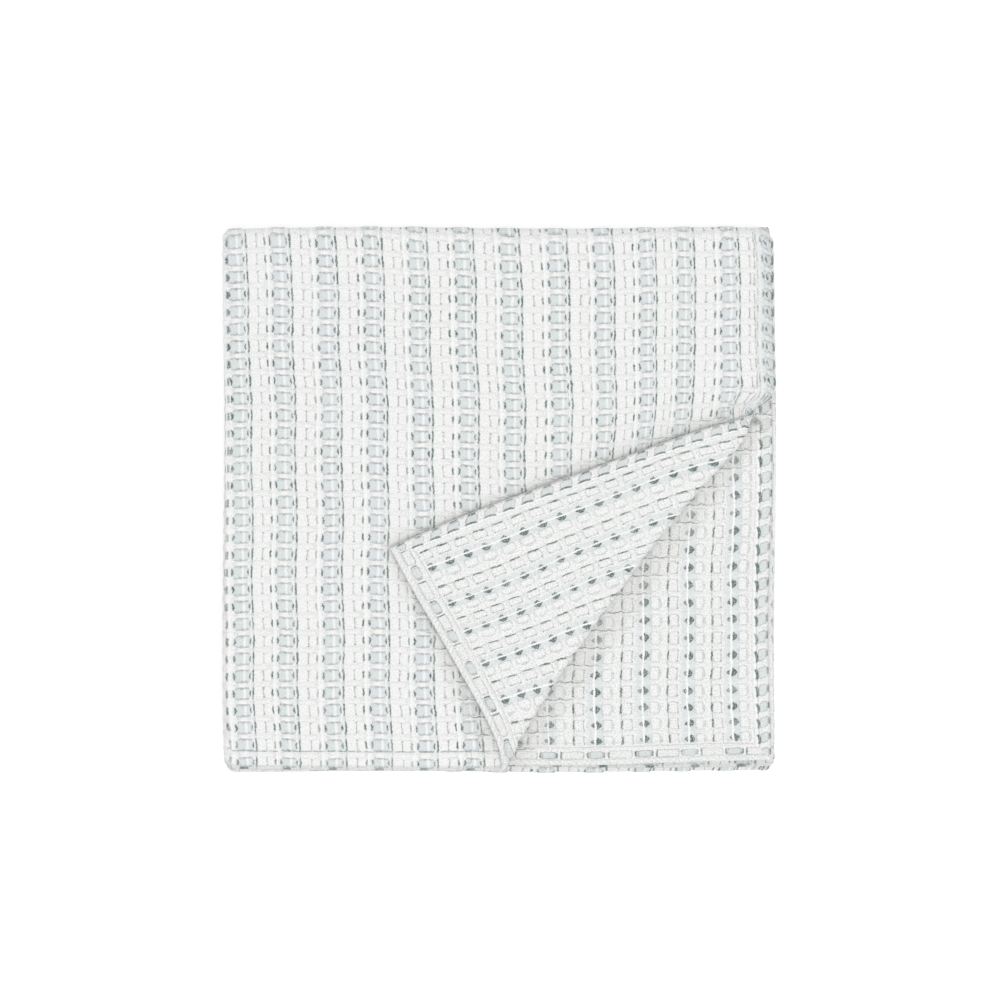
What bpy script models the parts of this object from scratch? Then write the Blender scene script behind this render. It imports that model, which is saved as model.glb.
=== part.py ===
"""A waffle weave cotton blanket, folded to a square stack with one corner of its top layer turned back.

The cloth is one sheet. It is halved twice from side to side, into a packet of four layers, and the
packet is halved twice from back to front, into four packets. So the flat sheet, with the coordinates
u (across) and v (along), both measured from its right front corner, is carried into the stack by two
back-and-forth lines: one lays u into a packet, the other lays v into the stack. The origin is at the
middle of the underside. +X is the stack's right, +Y its back and +Z is up.
"""

import math
from collections import namedtuple

import bmesh
import bpy
from mathutils import Vector

MM = 0.001

# The stack and its cloth
STACK_WIDTH = 400 * MM
STACK_DEPTH = 396 * MM
CLOTH = 2.2 * MM
LAYER_PITCH = 3.2 * MM
PACKET_PITCH = 13.4 * MM
LAYERS_IN_PACKET = 4
PACKETS = 4
PACKET_HALF = (LAYERS_IN_PACKET - 1) / 2 * LAYER_PITCH + CLOTH / 2

# The hems, turned over to the cloth's reverse
HEM_WIDTH = 15 * MM
HEM_STEP = 2 * MM
HEM_SHOWN_RISE = 0.8 * MM
HEM_HIDDEN_RISE = 0.3 * MM
HEM_SHOWN_FADE = 40 * MM
HEM_LIFT = 1.1 * MM
HEM_LIFT_REACH = 30 * MM

# The corner turned back: where its fold starts on the right side and on the front, how round the fold
# is, how high the turned cloth lies, and where its tip comes to lie, all from the right front corner
TURN_UP_SIDE = 255 * MM
TURN_ALONG_FRONT = 202 * MM
TURN_RADIUS = 3.4 * MM
TURN_REST = 3.3 * MM
TURN_EASE = 45 * MM
TIP_LEFT = 276 * MM
TIP_BACK = 163 * MM
FOLD_BOW = 12 * MM
FOLD_BOW_LEAN = 0.75
FOLD_BOW_REACH = 60 * MM
TOP_EDGE_BOW = 6 * MM
FRONT_EDGE_BOW = 8 * MM
HEM_PULL = 16 * MM
HEM_PULL_BELOW = 8 * MM
HEM_PULL_ACROSS = 35 * MM
HEM_PULL_ALONG = 20 * MM
CUT_SPACING = 17 * MM
TURN_CUTS = 6

# Unevenness: the stack's sides sway, its packets have slid on each other, its hems wander and its top
# rolls a little. phase is the part of a wave that is already past at its start.
Wave = namedtuple("Wave", "height length phase")
SIDE_SWAY = Wave(height=0.7 * MM, length=310 * MM, phase=0.1)
END_SWAY = Wave(height=0.7 * MM, length=270 * MM, phase=0.6)
SIDE_SLIDE = Wave(height=0.6 * MM, length=34 * MM, phase=0.45)
END_SLIDE = Wave(height=0.6 * MM, length=41 * MM, phase=0.2)
SIDE_HEM_WANDER = Wave(height=1 * MM, length=230 * MM, phase=0.3)
FRONT_HEM_WANDER = Wave(height=1 * MM, length=290 * MM, phase=0.8)
ROLL_ACROSS = Wave(height=1, length=240 * MM, phase=0.15)
ROLL_ALONG = Wave(height=1, length=210 * MM, phase=0.4)
TOP_ROLL = 0.022
HEM_WANDER_REACH = 60 * MM
# How far each layer's front hem, and each packet's side hem, stands in, in the order of the cloth
FRONT_HEMS_IN = (0, 3.2 * MM, -0.8 * MM, 2.2 * MM)
SIDE_HEMS_IN = (0, 2.4 * MM, -1.5 * MM, 1.4 * MM)
# The corners are drawn in, and the folds keep the stack's sides higher than its middle
CORNER_DRAW = 2.2 * MM
CORNER_SHARPNESS = 14
EDGE_RISE = 0.07
EDGE_SHARPNESS = 3

# A layer of a packet, or a packet of the stack, in the order in which the cloth runs through them.
# level counts pitches above the middle, heading is +1 towards the right or back, and steps are cuts.
Run = namedtuple("Run", "level heading steps")
# The turn after each run: where its middle line reaches, its corner's radius, how fast the radius of
# the lines beside it grows, and the steps in each corner and in the wall between them
Turn = namedtuple("Turn", "reach corner growth corner_steps wall_steps")

SIDE = STACK_WIDTH / 2 - CLOTH / 2
END = STACK_DEPTH / 2 - PACKET_HALF

ACROSS_RUNS = (
    Run(level=1.5, heading=-1, steps=6),
    Run(level=-1.5, heading=1, steps=4),
    Run(level=-0.5, heading=-1, steps=4),
    Run(level=0.5, heading=1, steps=5),
)
ACROSS_TURNS = (
    Turn(reach=-SIDE, corner=3.9 * MM, growth=1, corner_steps=3, wall_steps=1),
    Turn(reach=SIDE, corner=LAYER_PITCH / 2, growth=1, corner_steps=2, wall_steps=0),
    Turn(reach=-SIDE + 6 * MM, corner=LAYER_PITCH / 2, growth=1, corner_steps=2, wall_steps=0),
)
ACROSS_ENDS = (SIDE - 1 * MM, SIDE - 1.8 * MM)

ALONG_RUNS = (
    Run(level=1.5, heading=1, steps=6),
    Run(level=-1.5, heading=-1, steps=4),
    Run(level=-0.5, heading=1, steps=4),
    Run(level=0.5, heading=-1, steps=4),
)
ALONG_TURNS = (
    Turn(reach=END, corner=6.6 * MM, growth=0.6, corner_steps=3, wall_steps=1),
    Turn(reach=-END, corner=PACKET_PITCH / 2, growth=1, corner_steps=3, wall_steps=0),
    Turn(reach=END - 14.6 * MM, corner=PACKET_PITCH / 2, growth=1, corner_steps=3, wall_steps=0),
)
ALONG_ENDS = (-STACK_DEPTH / 2 + 5.2 * MM, -STACK_DEPTH / 2 + 8 * MM)

# Soft pleats on the turned corner, which fan out from where its hem is folded. share is the way from
# the hem edge (0) to the fold (1), width is in the same shares.
Pleat = namedtuple("Pleat", "share width height")
PLEATS = (
    Pleat(share=0.30, width=0.12, height=2.2 * MM),
    Pleat(share=0.62, width=0.13, height=1.8 * MM),
)
PLEAT_START = 20 * MM
PLEAT_END = 260 * MM

CLOTH_COLOUR = (0.80, 0.83, 0.82, 1.0)
CLOTH_ROUGHNESS = 0.9


def ease(share):
    """A smooth step from 0 to 1."""
    share = min(1, max(0, share))
    return share * share * (3 - 2 * share)


def mix(first, second, share):
    return first + (second - first) * share


class FoldedLine:
    """A line that runs back and forth. It is measured by the way along its middle line, and by how far
    a point stands out on its front: to the right of its heading for front=-1, to the left for front=1."""

    def __init__(self, runs, turns, ends, pitch, front):
        self.runs, self.turns, self.ends = runs, turns, ends
        self.pitch, self.front = pitch, front
        self.starts = [0]
        for i, run in enumerate(runs):
            length = abs(self.run_end(i, 0) - self.run_start(i, 0))
            self.starts.append(self.starts[-1] + length)
            if i < len(turns):
                corner, wall = self.turn_lengths(i)
                self.starts.append(self.starts[-1] + 2 * corner + wall)
        self.length = self.starts[-1]

    def outward(self, i):
        """1 where the front is on the outside of turn i, -1 where it is inside."""
        rise = math.copysign(1, self.runs[i + 1].level - self.runs[i].level)
        return -self.front * self.runs[i].heading * rise

    def tangent(self, i, out):
        """Where turn i meets its runs, for a line that stands out by out."""
        turn, heading, side = self.turns[i], self.runs[i].heading, self.outward(i)
        return turn.reach + heading * (side * out - turn.corner - turn.growth * side * out)

    def turn_lengths(self, i):
        turn = self.turns[i]
        half = abs(self.runs[i + 1].level - self.runs[i].level) / 2 * self.pitch
        return turn.corner * math.pi / 2, 2 * (half - turn.corner)

    def run_start(self, i, out):
        return self.ends[0] if i == 0 else self.tangent(i - 1, out)

    def run_end(self, i, out):
        return self.ends[1] if i == len(self.turns) else self.tangent(i, out)

    def cuts(self, start_cuts=(), end_cuts=()):
        """The places along the line where the cloth is cut into faces."""
        found = [*start_cuts, *(self.length - cut for cut in end_cuts)]
        for i, run in enumerate(self.runs):
            start, stop = self.starts[2 * i], self.starts[2 * i + 1]
            found += [mix(start, stop, k / run.steps) for k in range(run.steps + 1)]
            if i == len(self.turns):
                break
            turn = self.turns[i]
            corner, wall = self.turn_lengths(i)
            found += [stop + corner * k / turn.corner_steps for k in range(1, turn.corner_steps + 1)]
            found += [stop + corner + wall * k / turn.wall_steps for k in range(1, turn.wall_steps + 1)]
            far = stop + corner + wall
            found += [far + corner * k / turn.corner_steps for k in range(1, turn.corner_steps)]
        return sorted(set(found))

    def place(self, way, out):
        """Where a point of the line lies: its place along the axis, and its height."""
        part = max(i for i, start in enumerate(self.starts[:-1]) if way >= start or i == 0)
        i, way_in = part // 2, way - self.starts[part]
        run = self.runs[i]
        if part % 2 == 0:
            share = way_in / (self.starts[part + 1] - self.starts[part])
            along = mix(self.run_start(i, out), self.run_end(i, out), share)
            return along, run.level * self.pitch + self.front * run.heading * out
        turn, side = self.turns[i], self.outward(i)
        low, high = run.level * self.pitch, self.runs[i + 1].level * self.pitch
        middle, rise = (low + high) / 2, math.copysign(1, high - low)
        half = abs(high - low) / 2 + side * out
        radius = turn.corner + turn.growth * side * out
        reach = turn.reach + run.heading * side * out
        corner, wall = self.turn_lengths(i)
        if corner <= way_in <= corner + wall:
            share = (way_in - corner) / wall if wall else 0.5
            return reach, middle + rise * mix(radius - half, half - radius, share)
        first = way_in < corner
        angle = (way_in if first else 2 * corner + wall - way_in) / corner * math.pi / 2
        along = reach - run.heading * radius * (1 - math.sin(angle))
        from_middle = half - radius * (1 - math.cos(angle))
        return along, middle + rise * (-from_middle if first else from_middle)


ACROSS = FoldedLine(ACROSS_RUNS, ACROSS_TURNS, ACROSS_ENDS, LAYER_PITCH, front=-1)
ALONG = FoldedLine(ALONG_RUNS, ALONG_TURNS, ALONG_ENDS, PACKET_PITCH, front=1)
STACK_HALF = (PACKETS - 1) / 2 * PACKET_PITCH + PACKET_HALF

# The turned corner's fold line on the flat top layer, seen from above
CORNER = Vector((ACROSS_ENDS[0], ALONG_ENDS[0]))
FOLD_BACK = CORNER + Vector((0, TURN_UP_SIDE))
FOLD_FRONT = CORNER + Vector((-TURN_ALONG_FRONT, 0))
TIP = CORNER + Vector((-TIP_LEFT, TIP_BACK))
FOLD_LENGTH = (FOLD_FRONT - FOLD_BACK).length
FOLD_ALONG = (FOLD_FRONT - FOLD_BACK).normalized()
FOLD_OUT = Vector((-FOLD_ALONG.y, FOLD_ALONG.x))
CORNER_OUT = (CORNER - FOLD_BACK).dot(FOLD_OUT)
CORNER_ALONG = (CORNER - FOLD_BACK).dot(FOLD_ALONG)
TURN_LENGTH = math.pi * TURN_RADIUS


def turned_corner(place, out):
    """Rolls the top layer over the fold line. place is on the flat layer, out is on the cloth's front.
    Gives the place seen from above, and the height above the layer."""
    from_fold = place - FOLD_BACK
    along, beyond = from_fold.dot(FOLD_ALONG), from_fold.dot(FOLD_OUT)
    if beyond <= 0:
        return place, out
    foot = FOLD_BACK + along * FOLD_ALONG
    if beyond < TURN_LENGTH:
        angle = beyond / TURN_RADIUS
        inner = TURN_RADIUS - out
        return foot + inner * math.sin(angle) * FOLD_OUT, TURN_RADIUS - inner * math.cos(angle)
    back = beyond - TURN_LENGTH
    share = back / (CORNER_OUT - TURN_LENGTH)
    flat_tip = FOLD_BACK + CORNER_ALONG * FOLD_ALONG - (CORNER_OUT - TURN_LENGTH) * FOLD_OUT
    laid = foot - back * FOLD_OUT + share * (TIP - flat_tip)
    to_front = (along - share * CORNER_ALONG) / FOLD_LENGTH
    to_back = 1 - share - to_front
    hem_edge, front_edge = (TIP - FOLD_BACK).normalized(), (TIP - FOLD_FRONT).normalized()
    laid += 4 * max(0, to_back) * share * TOP_EDGE_BOW * Vector((hem_edge.y, -hem_edge.x))
    laid += 4 * max(0, to_front) * share * FRONT_EDGE_BOW * Vector((front_edge.y, -front_edge.x))
    rest = TURN_REST + pleat_height(laid)
    height = mix(2 * TURN_RADIUS, rest, ease(back / TURN_EASE))
    return laid, height - out


def pleat_height(place):
    """The soft pleats that fan out over the turned corner."""
    way = place - FOLD_BACK
    whole = abs(FOLD_ALONG.angle_signed(TIP - FOLD_BACK))
    share = 1 - abs(FOLD_ALONG.angle_signed(way)) / whole if way.length > 0 else 0
    along = ease(way.length / PLEAT_START) * (1 - ease(way.length / PLEAT_END))
    return sum(p.height * along * math.exp(-(((share - p.share) / p.width) ** 2)) for p in PLEATS)


def draw_top_layer(place):
    """The fold of the turned corner is bowed, and its hem is drawn in where it is folded."""
    from_fold = place - FOLD_BACK
    share = min(1, max(0, from_fold.dot(FOLD_ALONG) / FOLD_LENGTH)) ** FOLD_BOW_LEAN
    near = math.exp(-((from_fold.dot(FOLD_OUT) / FOLD_BOW_REACH) ** 2))
    above_pull = from_fold.y + HEM_PULL_BELOW
    pull = math.exp(-((from_fold.x / HEM_PULL_ACROSS) ** 2) - (above_pull / HEM_PULL_ALONG) ** 2)
    return place - 4 * share * (1 - share) * near * FOLD_BOW * FOLD_OUT - Vector((pull * HEM_PULL, 0))


def wave(kind, way):
    return kind.height * math.sin(2 * math.pi * (way / kind.length + kind.phase))


def by_run(line, way, values):
    """The value of the run that way lies in, eased from one to the next through the turns."""
    found = values[0]
    for i in range(len(values) - 1):
        start, stop = line.starts[2 * i + 1], line.starts[2 * i + 2]
        found += (values[i + 1] - values[i]) * ease((way - start) / (stop - start))
    return found


def uneven(point, u, v):
    """Sets the stack as unevenly as real cloth lies. The underside stays flat."""
    x, y, z = point
    to_side_hem = 1 - ease(min(u, ACROSS.length - u) / HEM_WANDER_REACH)
    to_front_hem = 1 - ease(min(v, ALONG.length - v) / HEM_WANDER_REACH)
    side_hem = wave(SIDE_HEM_WANDER, v) - by_run(ALONG, v, SIDE_HEMS_IN)
    front_hem = wave(FRONT_HEM_WANDER, u) + by_run(ACROSS, u, FRONT_HEMS_IN)
    across, along = abs(x) / (STACK_WIDTH / 2), abs(y) / (STACK_DEPTH / 2)
    corner = CORNER_DRAW * min(1, across * along) ** CORNER_SHARPNESS
    moved_x = wave(SIDE_SWAY, y) + wave(SIDE_SLIDE, z) + to_side_hem * side_hem
    moved_y = wave(END_SWAY, x) + wave(END_SLIDE, z) + to_front_hem * front_hem
    edge = ease(max(across, along) ** EDGE_SHARPNESS) - 0.5
    roll = TOP_ROLL * wave(ROLL_ACROSS, x) * wave(ROLL_ALONG, y) * z / (2 * STACK_HALF)
    return Vector(
        (
            x + moved_x - math.copysign(corner, x),
            y + moved_y - math.copysign(corner, y),
            z * (1 + EDGE_RISE * edge + roll),
        )
    )


def in_top_layer(u, v):
    return u < ACROSS.starts[1] and v < ALONG.starts[1]


def cloth_point(u, v, out):
    """Carries a point of the flat cloth, standing out on its front by out, into the stack."""
    x, from_packet = ACROSS.place(u, out)
    y, height = ALONG.place(v, from_packet)
    if in_top_layer(u, v):
        flat_x, _ = ACROSS.place(u, 0)
        flat_y, _ = ALONG.place(v, 0)
        laid, above = turned_corner(Vector((flat_x, flat_y)), out)
        if above != out:
            x, y = laid
            height += above - out
        x, y = draw_top_layer(Vector((x, y)))
        height += HEM_LIFT * shown(u, v) * (1 - ease((min(u, v) - HEM_WIDTH) / HEM_LIFT_REACH))
    return uneven(Vector((x, y, height + STACK_HALF)), u, v)


def shown(u, v):
    """1 on the two top layers, whose hems show, and 0 on the rest."""
    from_side_fold = max(ACROSS.starts[1] - u, u - ACROSS.starts[-2])
    return ease(min(from_side_fold, ALONG.starts[1] - v) / HEM_SHOWN_FADE)


def hem_rise(u, v):
    """How much thicker the cloth is on its reverse, where its hems are turned over."""
    to_edge = min(u, ACROSS.length - u, v, ALONG.length - v)
    rise = mix(HEM_HIDDEN_RISE, HEM_SHOWN_RISE, shown(u, v))
    return rise * (1 - ease((to_edge - HEM_WIDTH) / HEM_STEP))


def cut_cloth():
    """The flat cloth, cut into faces: along its folds, its hems and the turned corner's roll."""
    hem_cuts = (HEM_WIDTH, HEM_WIDTH + HEM_STEP)
    us, vs = ACROSS.cuts(hem_cuts, hem_cuts), ALONG.cuts(hem_cuts, hem_cuts)
    cloth = bmesh.new()
    rows = [[cloth.verts.new((u, v, 0)) for v in vs] for u in us]
    for row, following in zip(rows, rows[1:]):
        for k in range(len(vs) - 1):
            cloth.faces.new((row[k], row[k + 1], following[k + 1], following[k]))
    corner_u, corner_v = TURN_ALONG_FRONT + 2 * CUT_SPACING, TURN_UP_SIDE + 2 * CUT_SPACING

    def cut_corner(point, normal):
        """Cuts only the faces around the corner that is turned back."""
        middles = {face: face.calc_center_median() for face in cloth.faces}
        faces = [face for face, at in middles.items() if at.x < corner_u and at.y < corner_v]
        parts = {*faces, *(e for f in faces for e in f.edges), *(w for f in faces for w in f.verts)}
        bmesh.ops.bisect_plane(cloth, geom=list(parts), dist=MM / 100, plane_co=point, plane_no=normal)

    for k in range(1, math.ceil(corner_u / CUT_SPACING)):
        cut_corner((k * CUT_SPACING + HEM_WIDTH, 0, 0), (1, 0, 0))
    for k in range(1, math.ceil(corner_v / CUT_SPACING)):
        cut_corner((0, k * CUT_SPACING + HEM_WIDTH, 0), (0, 1, 0))
    flat_out = Vector((-FOLD_OUT.x, FOLD_OUT.y, 0))
    for k in range(TURN_CUTS + 1):
        cut_corner(Vector((0, TURN_UP_SIDE, 0)) + TURN_LENGTH * k / TURN_CUTS * flat_out, flat_out)
    bmesh.ops.triangulate(cloth, faces=cloth.faces[:])
    return cloth


def make_blanket():
    """Gives the cut cloth its two faces and its rim, folded into the stack."""
    cloth = cut_cloth()
    solid = bmesh.new()
    fronts, reverses = {}, {}
    for vert in cloth.verts:
        u, v = vert.co.x, vert.co.y
        fronts[vert] = solid.verts.new(cloth_point(u, v, CLOTH / 2))
        reverses[vert] = solid.verts.new(cloth_point(u, v, -CLOTH / 2 - hem_rise(u, v)))
    for face in cloth.faces:
        solid.faces.new([fronts[w] for w in face.verts])
        solid.faces.new([reverses[w] for w in reversed(face.verts)])
    for edge in cloth.edges:
        if edge.is_boundary:
            first, second = edge.link_loops[0].vert, edge.link_loops[0].link_loop_next.vert
            solid.faces.new((fronts[second], fronts[first], reverses[first], reverses[second]))
    cloth.free()
    bmesh.ops.recalc_face_normals(solid, faces=solid.faces[:])
    mesh = bpy.data.meshes.new("blanket")
    solid.to_mesh(mesh)
    solid.free()
    mesh.shade_smooth()
    blanket = bpy.data.objects.new("blanket", mesh)
    bpy.context.scene.collection.objects.link(blanket)
    return blanket


def cotton():
    material = bpy.data.materials.new("waffle_cotton")
    material.use_nodes = True
    shader = material.node_tree.nodes["Principled BSDF"]
    shader.inputs["Base Color"].default_value = CLOTH_COLOUR
    shader.inputs["Roughness"].default_value = CLOTH_ROUGHNESS
    shader.inputs["Metallic"].default_value = 0
    return material


for old in list(bpy.data.objects):
    bpy.data.objects.remove(old, do_unlink=True)

make_blanket().data.materials.append(cotton())
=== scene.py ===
"""A waffle weave cotton blanket, folded to a square stack with one corner of its top layer turned back.

The flat cloth has the coordinates u (across) and v (along), both in metres from its right front corner.
Two back-and-forth lines carry it into the stack: one lays u into a packet of four layers, the other
lays v into the four packets. +X is the stack's right, +Y its back and +Z is up.
"""

import math
from collections import namedtuple
from functools import partialmethod

import bpy
import numpy as np
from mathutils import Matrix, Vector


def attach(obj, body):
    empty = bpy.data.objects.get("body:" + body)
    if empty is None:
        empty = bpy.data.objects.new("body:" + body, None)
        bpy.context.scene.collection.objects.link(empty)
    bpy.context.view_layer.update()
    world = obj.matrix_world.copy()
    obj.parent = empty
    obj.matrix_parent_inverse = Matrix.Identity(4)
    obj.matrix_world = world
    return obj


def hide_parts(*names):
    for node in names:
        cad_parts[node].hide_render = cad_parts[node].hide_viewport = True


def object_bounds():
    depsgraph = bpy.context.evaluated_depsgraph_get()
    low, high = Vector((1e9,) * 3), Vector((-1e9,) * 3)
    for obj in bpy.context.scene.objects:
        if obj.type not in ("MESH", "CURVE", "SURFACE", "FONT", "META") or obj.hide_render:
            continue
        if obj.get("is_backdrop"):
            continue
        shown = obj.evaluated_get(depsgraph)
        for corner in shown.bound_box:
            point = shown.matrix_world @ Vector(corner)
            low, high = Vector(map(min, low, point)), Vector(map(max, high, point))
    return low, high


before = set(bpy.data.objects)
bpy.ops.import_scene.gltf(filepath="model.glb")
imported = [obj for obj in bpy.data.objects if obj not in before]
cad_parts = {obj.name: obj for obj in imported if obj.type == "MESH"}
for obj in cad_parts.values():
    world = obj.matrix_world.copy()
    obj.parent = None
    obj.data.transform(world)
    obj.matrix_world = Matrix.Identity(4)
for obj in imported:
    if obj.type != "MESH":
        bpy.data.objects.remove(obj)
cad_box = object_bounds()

MM = 0.001

# ---- The lower layers ----
# Nearly all of the blanket: a single length of waffle weave cotton, its edges turned over and sewn. It is
# halved twice from side to side and twice from back to front, so that its folds show on all four sides.

STACK_WIDTH = 400 * MM
STACK_DEPTH = 396 * MM
CLOTH = 2.2 * MM
LAYER_PITCH = 3.2 * MM
PACKET_PITCH = 13.4 * MM
PACKET_HALF = 1.5 * LAYER_PITCH + CLOTH / 2
STACK_HALF = 1.5 * PACKET_PITCH + PACKET_HALF
SIDE = STACK_WIDTH / 2 - CLOTH / 2
END = STACK_DEPTH / 2 - PACKET_HALF

HEM_WIDTH = 15 * MM
HEM_STEP = 2 * MM
HEM_SHOWN_RISE = 1.2 * MM
HEM_HIDDEN_RISE = 0.3 * MM
HEM_SHOWN_FADE = 40 * MM

# A layer or packet, in the order in which the cloth runs through them: level counts pitches above the
# middle, heading is +1 towards the right or back
Run = namedtuple("Run", "level heading")
# The turn after each run: how far it reaches, its corner's radius and how fast that grows outwards
Turn = namedtuple("Turn", "reach corner growth")


def ease(share):
    """A smooth step from 0 to 1."""
    share = np.clip(share, 0, 1)
    return share * share * (3 - 2 * share)


def mix(first, second, share):
    return first + (second - first) * share


class FoldedLine:
    """A line that runs back and forth, measured by the way along it. out is how far a point stands out
    on its front: to the right of its heading for front=-1, to the left for front=1."""

    def __init__(self, runs, turns, ends, pitch, front):
        self.runs, self.turns, self.ends = runs, turns, ends
        self.pitch, self.front = pitch, front
        self.starts = [0]
        for i in range(len(runs)):
            start, stop = self.run_ends(i, 0)
            self.starts.append(self.starts[-1] + abs(stop - start))
            if i < len(turns):
                corner, wall = self.turn_lengths(i)
                self.starts.append(self.starts[-1] + 2 * corner + wall)
        self.length = self.starts[-1]

    def outward(self, i):
        """1 where the front is on the outside of turn i, -1 where it is inside."""
        rise = math.copysign(1, self.runs[i + 1].level - self.runs[i].level)
        return -self.front * self.runs[i].heading * rise

    def tangent(self, i, out):
        turn, heading, side = self.turns[i], self.runs[i].heading, self.outward(i)
        return turn.reach + heading * (side * out - turn.corner - turn.growth * side * out)

    def turn_lengths(self, i):
        half = abs(self.runs[i + 1].level - self.runs[i].level) / 2 * self.pitch
        return self.turns[i].corner * math.pi / 2, 2 * (half - self.turns[i].corner)

    def run_ends(self, i, out):
        start = self.ends[0] if i == 0 else self.tangent(i - 1, out)
        return start, self.ends[1] if i == len(self.turns) else self.tangent(i, out)

    def on_run(self, i, share, out):
        along = mix(*self.run_ends(i, out), share)
        return along, self.runs[i].level * self.pitch + self.front * self.runs[i].heading * out

    def on_turn(self, i, way, out):
        turn, side, heading = self.turns[i], self.outward(i), self.runs[i].heading
        low, high = self.runs[i].level * self.pitch, self.runs[i + 1].level * self.pitch
        corner, wall = self.turn_lengths(i)
        half = abs(high - low) / 2 + side * out
        radius = turn.corner + turn.growth * side * out
        to_end = np.where(way < corner + wall / 2, way, 2 * corner + wall - way)
        angle = np.minimum(to_end / corner, 1) * math.pi / 2
        along = turn.reach + heading * (side * out - radius * (1 - np.sin(angle)))
        from_middle = half - radius * (1 - np.cos(angle))
        from_middle = np.where(way < corner + wall / 2, -from_middle, from_middle)
        if wall > 0:
            share = (way - corner) / wall
            on_wall = (share > 0) & (share < 1)
            from_middle = np.where(on_wall, mix(radius - half, half - radius, share), from_middle)
        return along, (low + high) / 2 + math.copysign(1, high - low) * from_middle

    def to_end(self, way):
        """How far a place lies from the nearer end of the line."""
        return np.minimum(way, self.length - way)

    def place(self, way, out):
        """Where points of the line lie: their places along the axis, and their heights."""
        along, height = np.zeros(way.shape), np.zeros(way.shape)
        part = np.clip(np.searchsorted(self.starts, way, side="right") - 1, 0, len(self.starts) - 2)
        for k in np.unique(part):
            here = part == k
            way_in, length = way[here] - self.starts[k], self.starts[k + 1] - self.starts[k]
            if k % 2 == 0:
                along[here], height[here] = self.on_run(k // 2, way_in / length, out[here])
            else:
                along[here], height[here] = self.on_turn(k // 2, way_in, out[here])
        return along, height

    def lines(self, start, stop, spacing):
        """Grid lines from start to stop, with lines where the cloth's shape changes."""
        marks = {start, stop, self.starts[0], self.starts[-1]}
        for edge in (EDGE_ROUND, HEM_WIDTH, HEM_WIDTH + HEM_STEP):
            marks |= {edge, self.length - edge}
        for i in range(len(self.turns)):
            corner, wall = self.turn_lengths(i)
            begin = self.starts[2 * i + 1]
            for way in (0, corner / 2, corner, corner + wall, 1.5 * corner + wall, 2 * corner + wall):
                marks.add(begin + way)
        marks = np.array(sorted(mark for mark in marks if start <= mark <= stop))
        marks = marks[np.append(True, np.diff(marks) > MM / 10)]
        parts = [
            np.linspace(a, b, max(1, math.ceil((b - a) / spacing)), endpoint=False)
            for a, b in zip(marks, marks[1:])
        ]
        return np.append(np.concatenate(parts), stop)


ACROSS = FoldedLine(
    runs=(Run(1.5, -1), Run(-1.5, 1), Run(-0.5, -1), Run(0.5, 1)),
    turns=(
        Turn(-SIDE, 3.9 * MM, 1),
        Turn(SIDE, LAYER_PITCH / 2, 1),
        Turn(-SIDE + 6 * MM, LAYER_PITCH / 2, 1),
    ),
    ends=(SIDE - 1 * MM, SIDE - 1.8 * MM),
    pitch=LAYER_PITCH,
    front=-1,
)
ALONG = FoldedLine(
    runs=(Run(1.5, 1), Run(-1.5, -1), Run(-0.5, 1), Run(0.5, -1)),
    turns=(
        Turn(END, 6.6 * MM, 0.6),
        Turn(-END, PACKET_PITCH / 2, 1),
        Turn(END - 14.6 * MM, PACKET_PITCH / 2, 1),
    ),
    ends=(-STACK_DEPTH / 2 + 5.2 * MM, -STACK_DEPTH / 2 + 8 * MM),
    pitch=PACKET_PITCH,
    front=1,
)
EDGE_ROUND = 1.3 * MM
EDGE_LEAST = 0.2

# Unevenness: the stack's sides sway, its packets have slid on each other, its hems wander and its top
# rolls a little. A wave's phase is the part of it that is already past at its start.
Wave = namedtuple("Wave", "height length phase")
SIDE_SWAY = Wave(0.7 * MM, 310 * MM, 0.1)
END_SWAY = Wave(0.7 * MM, 270 * MM, 0.6)
SIDE_SLIDE = Wave(0.6 * MM, 34 * MM, 0.45)
END_SLIDE = Wave(0.6 * MM, 41 * MM, 0.2)
SIDE_HEM_WANDER = Wave(1 * MM, 230 * MM, 0.3)
FRONT_HEM_WANDER = Wave(1 * MM, 290 * MM, 0.8)
ROLL_ACROSS = Wave(1, 240 * MM, 0.15)
ROLL_ALONG = Wave(1, 210 * MM, 0.4)
TOP_ROLL = 0.022
HEM_WANDER_REACH = 60 * MM
FRONT_HEMS_IN = (0, 3.2 * MM, -0.8 * MM, 2.2 * MM)
SIDE_HEMS_IN = (0, 2.4 * MM, -1.5 * MM, 1.4 * MM)
CORNER_DRAW = 0.9 * MM
CORNER_SHARPNESS = 14
EDGE_RISE = 0.07
EDGE_SHARPNESS = 3


def wave(kind, way):
    return kind.height * np.sin(2 * math.pi * (way / kind.length + kind.phase))


def by_run(line, way, values):
    """The value of the run that way lies in, eased from one to the next through the turns."""
    found = values[0]
    for i in range(len(values) - 1):
        start, stop = line.starts[2 * i + 1], line.starts[2 * i + 2]
        found = found + (values[i + 1] - values[i]) * ease((way - start) / (stop - start))
    return found


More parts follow.
